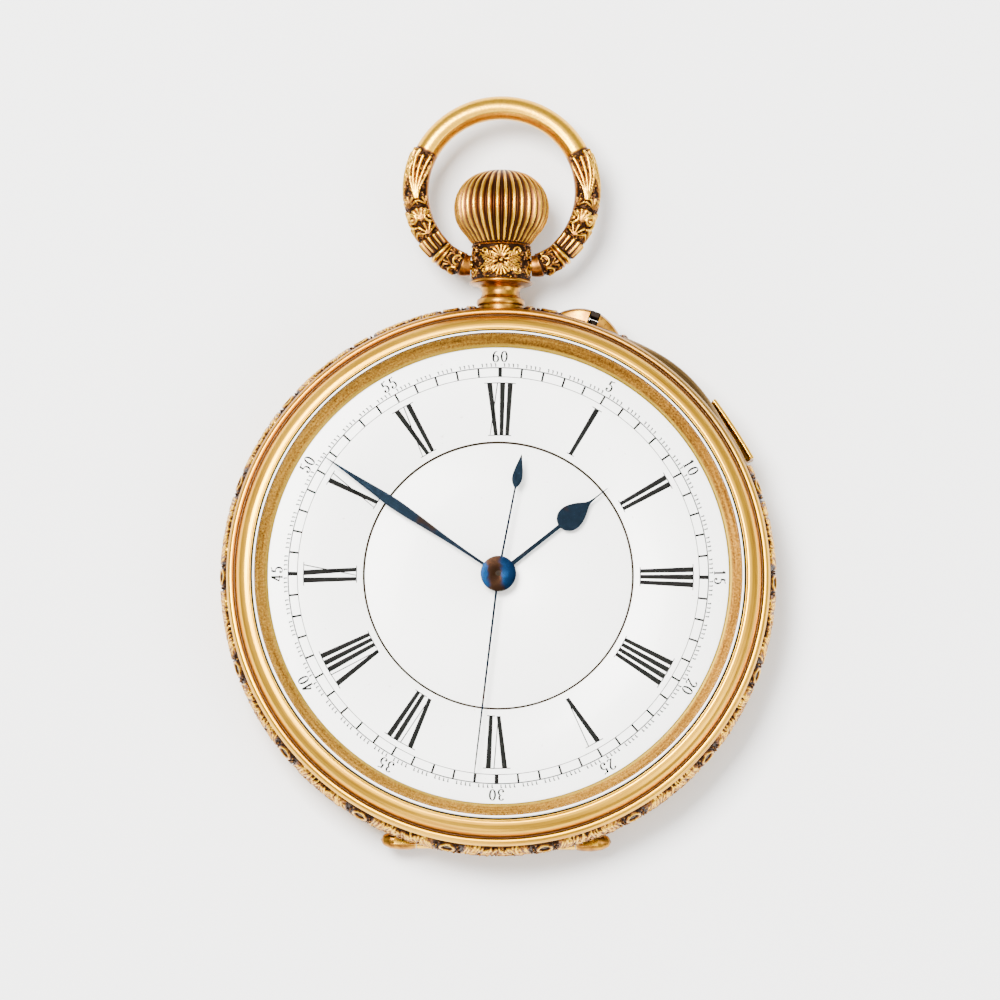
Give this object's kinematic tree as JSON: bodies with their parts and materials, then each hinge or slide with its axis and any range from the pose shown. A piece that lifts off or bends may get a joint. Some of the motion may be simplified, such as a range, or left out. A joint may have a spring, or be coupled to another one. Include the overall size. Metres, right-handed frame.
{
  "type": "pocket watch",
  "caption": "Open-face keyless pocket watch with chased band, fluted crown, swivelling bow, hinged back and dust cover, enamel dial and a full going train.",
  "frame": {"origin": "centre of the flat centre of the back, which the watch lies on", "axes": "+Z is the dial's normal, +Y points to 12 o'clock and the pendant, +X points to 3 o'clock"},
  "size_m": [0.0549, 0.0765, 0.0122],
  "materials": {
    "antique_gold": "satin, chased where carved",
    "gilt_brass": "gilt, fine matt",
    "polished_steel": "polished",
    "blued_steel": "heat-blued, polished",
    "white_enamel": "fired enamel, glossy",
    "ruby": "polished",
    "crystal_glass": "polished"
  },
  "bodies": {
    "case": {"case_band": "antique_gold", "pendant": "antique_gold", "push_guard": "antique_gold", "hinge_pin": "polished_steel", "dial_chapter_ring": "white_enamel", "dial_centre": "white_enamel", "dial_feet": "gilt_brass", "pillar_plate": "gilt_brass", "pillars": "gilt_brass", "barrel_bridge": "gilt_brass", "train_bridge": "gilt_brass", "balance_cock": "gilt_brass", "pallet_cock": "gilt_brass", "bridge_screws": "polished_steel", "case_screws": "polished_steel", "jewels": "ruby", "click_spring": "polished_steel", "crown_wheel_cap": "polished_steel"},
    "bow": {"bow": "antique_gold"},
    "crown": {"crown": "antique_gold", "winding_stem": "polished_steel", "winding_pinion": "polished_steel"},
    "crown_wheel": {"crown_wheel": "polished_steel"},
    "ratchet": {"ratchet_wheel": "polished_steel", "ratchet_screw": "polished_steel", "barrel_arbor": "polished_steel", "mainspring": "blued_steel"},
    "click": {"click": "polished_steel"},
    "bezel": {"bezel": "antique_gold", "crystal": "crystal_glass"},
    "back_cover": {"back_cover": "antique_gold"},
    "cuvette": {"cuvette": "antique_gold"},
    "push_piece": {"push_piece": "polished_steel"},
    "stop_slide": {"stop_slide": "antique_gold", "stop_lever": "polished_steel"},
    "barrel": {"barrel": "gilt_brass", "barrel_cover": "gilt_brass"},
    "centre": {"centre_wheel": "gilt_brass", "centre_pinion": "polished_steel"},
    "third": {"third_wheel": "gilt_brass", "third_pinion": "polished_steel"},
    "seconds": {"fourth_wheel": "gilt_brass", "seconds_arbor": "polished_steel", "seconds_hand": "blued_steel"},
    "escape": {"escape_wheel": "polished_steel", "escape_pinion": "polished_steel"},
    "pallet": {"pallet_lever": "polished_steel", "pallet_stones": "ruby", "pallet_arbor": "polished_steel"},
    "balance": {"balance_wheel": "gilt_brass", "balance_staff": "polished_steel", "impulse_jewel": "ruby", "hairspring": "blued_steel"},
    "regulator": {"regulator": "polished_steel"},
    "minute": {"minute_hand": "blued_steel", "cannon_pinion": "polished_steel"},
    "minute_wheel": {"minute_wheel": "gilt_brass"},
    "hour": {"hour_hand": "blued_steel", "hour_wheel": "gilt_brass"}
  },
  "joints": [
    {"name": "bow_swing", "type": "hinge", "parent": "case", "child": "bow", "pos_m": [0, 0.0319, 0.0059], "axis": [1, 0, 0], "range_deg": [-100, 100]},
    {"name": "crown_turn", "type": "hinge", "parent": "case", "child": "crown", "pos_m": [0, 0.03, 0.0059], "axis": [0, 1, 0], "continuous": true},
    {"name": "crown_wheel_turn", "type": "hinge", "parent": "case", "child": "crown_wheel", "pos_m": [0, 0.01405, 0.002], "axis": [0, 0, 1], "continuous": true},
    {"name": "ratchet_turn", "type": "hinge", "parent": "case", "child": "ratchet", "pos_m": [-0.00857, 0.00495, 0.002], "axis": [0, 0, 1], "continuous": true},
    {"name": "click_lift", "type": "hinge", "parent": "case", "child": "click", "pos_m": [-0.0166, 0.0106, 0.0018], "axis": [0, 0, 1], "range_deg": [0, 8]},
    {"name": "bezel_lift", "type": "slide", "parent": "case", "child": "bezel", "axis": [0, 0, 1], "range_m": [0, 0.012]},
    {"name": "back_cover_open", "type": "hinge", "parent": "case", "child": "back_cover", "pos_m": [0, -0.0259, 0.003], "axis": [-1, 0, 0], "range_deg": [0, 100]},
    {"name": "cuvette_open", "type": "hinge", "parent": "case", "child": "cuvette", "pos_m": [0, -0.0259, 0.003], "axis": [-1, 0, 0], "range_deg": [0, 80]},
    {"name": "push_piece_press", "type": "slide", "parent": "case", "child": "push_piece", "axis": [-0.3322, -0.9432, 0], "range_m": [0, 0.0008], "stiffness_N_per_m": 120},
    {"name": "stop_slide_move", "type": "hinge", "parent": "case", "child": "stop_slide", "pos_m": [0, 0, 0.005], "axis": [0, 0, 1], "range_deg": [0, 14]},
    {"name": "seconds_turn", "type": "hinge", "parent": "case", "child": "seconds", "pos_m": [0, 0, 0.005], "axis": [0, 0, 1], "continuous": true},
    {"name": "third_turn", "type": "hinge", "parent": "case", "child": "third", "pos_m": [-0.0036, -0.00624, 0.004], "axis": [0, 0, 1], "continuous": true},
    {"name": "centre_turn", "type": "hinge", "parent": "case", "child": "centre", "pos_m": [0, 0, 0.005], "axis": [0, 0, 1], "continuous": true},
    {"name": "barrel_turn", "type": "hinge", "parent": "case", "child": "barrel", "pos_m": [-0.00857, 0.00495, 0.005], "axis": [0, 0, 1], "continuous": true},
    {"name": "escape_turn", "type": "hinge", "parent": "case", "child": "escape", "pos_m": [0.00498, -0.00498, 0.005], "axis": [0, 0, 1], "continuous": true},
    {"name": "minute_turn", "type": "hinge", "parent": "case", "child": "minute", "pos_m": [0, 0, 0.009], "axis": [0, 0, 1], "continuous": true},
    {"name": "minute_wheel_turn", "type": "hinge", "parent": "case", "child": "minute_wheel", "pos_m": [0, -0.0048, 0.008], "axis": [0, 0, 1], "continuous": true},
    {"name": "hour_turn", "type": "hinge", "parent": "case", "child": "hour", "pos_m": [0, 0, 0.009], "axis": [0, 0, 1], "continuous": true},
    {"name": "pallet_rock", "type": "hinge", "parent": "case", "child": "pallet", "pos_m": [0.00742, -0.00742, 0.0055], "axis": [0, 0, 1], "range_deg": [-5, 5]},
    {"name": "balance_swing", "type": "hinge", "parent": "case", "child": "balance", "pos_m": [0.01025, -0.01025, 0.0034], "axis": [0, 0, 1], "range_deg": [-150, 150], "stiffness_Nm_per_rad": 0.000001, "deforming": ["hairspring"]},
    {"name": "regulator_move", "type": "hinge", "parent": "case", "child": "regulator", "pos_m": [0.01025, -0.01025, 0.0015], "axis": [0, 0, 1], "range_deg": [-20, 20]}
  ],
  "couplings": [
    {"joint": "crown_wheel_turn", "follows": "crown_turn", "ratio": 0.38889},
    {"joint": "ratchet_turn", "follows": "crown_turn", "ratio": -0.25926},
    {"joint": "third_turn", "follows": "seconds_turn", "ratio": -0.13333},
    {"joint": "centre_turn", "follows": "seconds_turn", "ratio": 0.016667},
    {"joint": "barrel_turn", "follows": "seconds_turn", "ratio": -0.0020833},
    {"joint": "escape_turn", "follows": "seconds_turn", "ratio": -10},
    {"joint": "minute_wheel_turn", "follows": "minute_turn", "ratio": -0.33333},
    {"joint": "hour_turn", "follows": "minute_turn", "ratio": 0.083333},
    {"joint": "cuvette_open", "follows": "back_cover_open", "ratio": 0.75}
  ]
}
